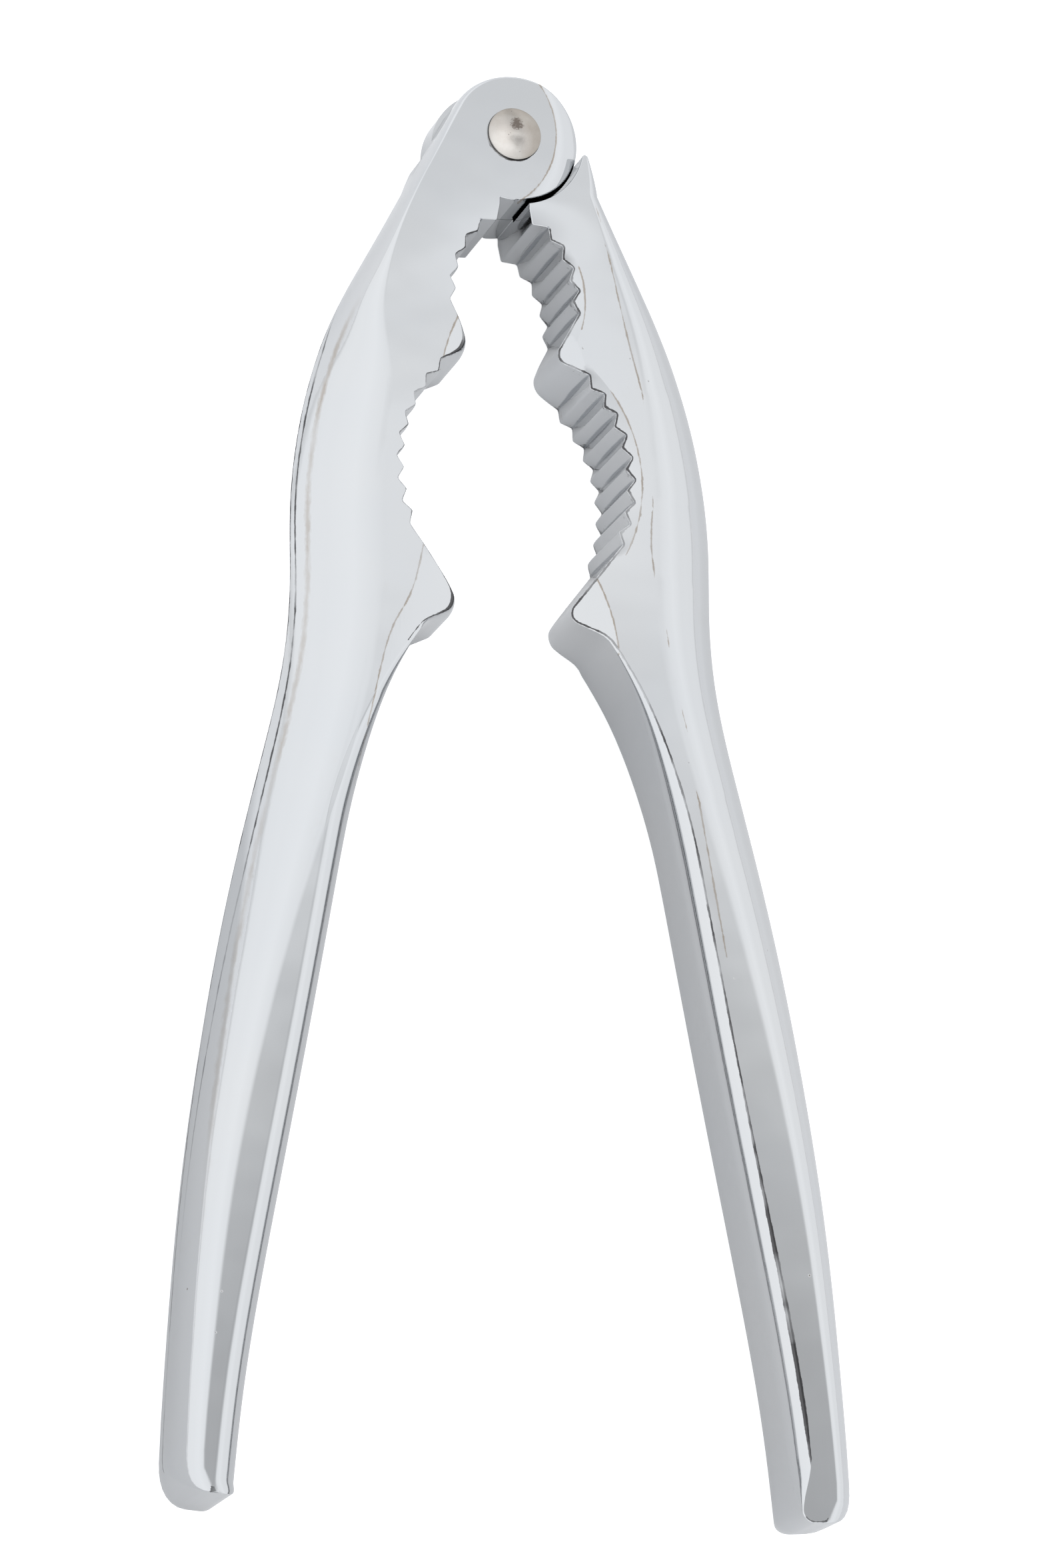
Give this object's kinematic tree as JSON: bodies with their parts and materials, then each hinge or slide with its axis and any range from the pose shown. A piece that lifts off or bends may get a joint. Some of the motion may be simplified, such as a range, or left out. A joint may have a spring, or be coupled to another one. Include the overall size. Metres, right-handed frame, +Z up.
{
  "type": "nutcracker",
  "caption": "Hand-held plier nutcracker: toothed levers joined by a domed rivet, with a small and a large bowl between the jaws and long smooth handles.",
  "frame": {"origin": "centre of the footprint, on the surface that the nutcracker lies on", "axes": "+Y from the handle ends to the hinge, +X towards the right lever, +Z up along the hinge axis, out of the plane the levers turn in"},
  "size_m": [0.0838, 0.181, 0.0141],
  "materials": {
    "left_lever": "bright plated, mirror polished",
    "right_lever": "bright plated, mirror polished",
    "pivot_rivet": "nickel plated, slightly worn"
  },
  "bodies": {
    "left_lever": {"left_lever": "left_lever", "pivot_rivet": "pivot_rivet"},
    "right_lever": {"right_lever": "right_lever"}
  },
  "joints": [
    {"name": "lever_hinge", "type": "hinge", "parent": "left_lever", "child": "right_lever", "pos_m": [0, 0.08173, 0.0065], "axis": [0, 0, 1], "range_deg": [-13, 178]}
  ]
}
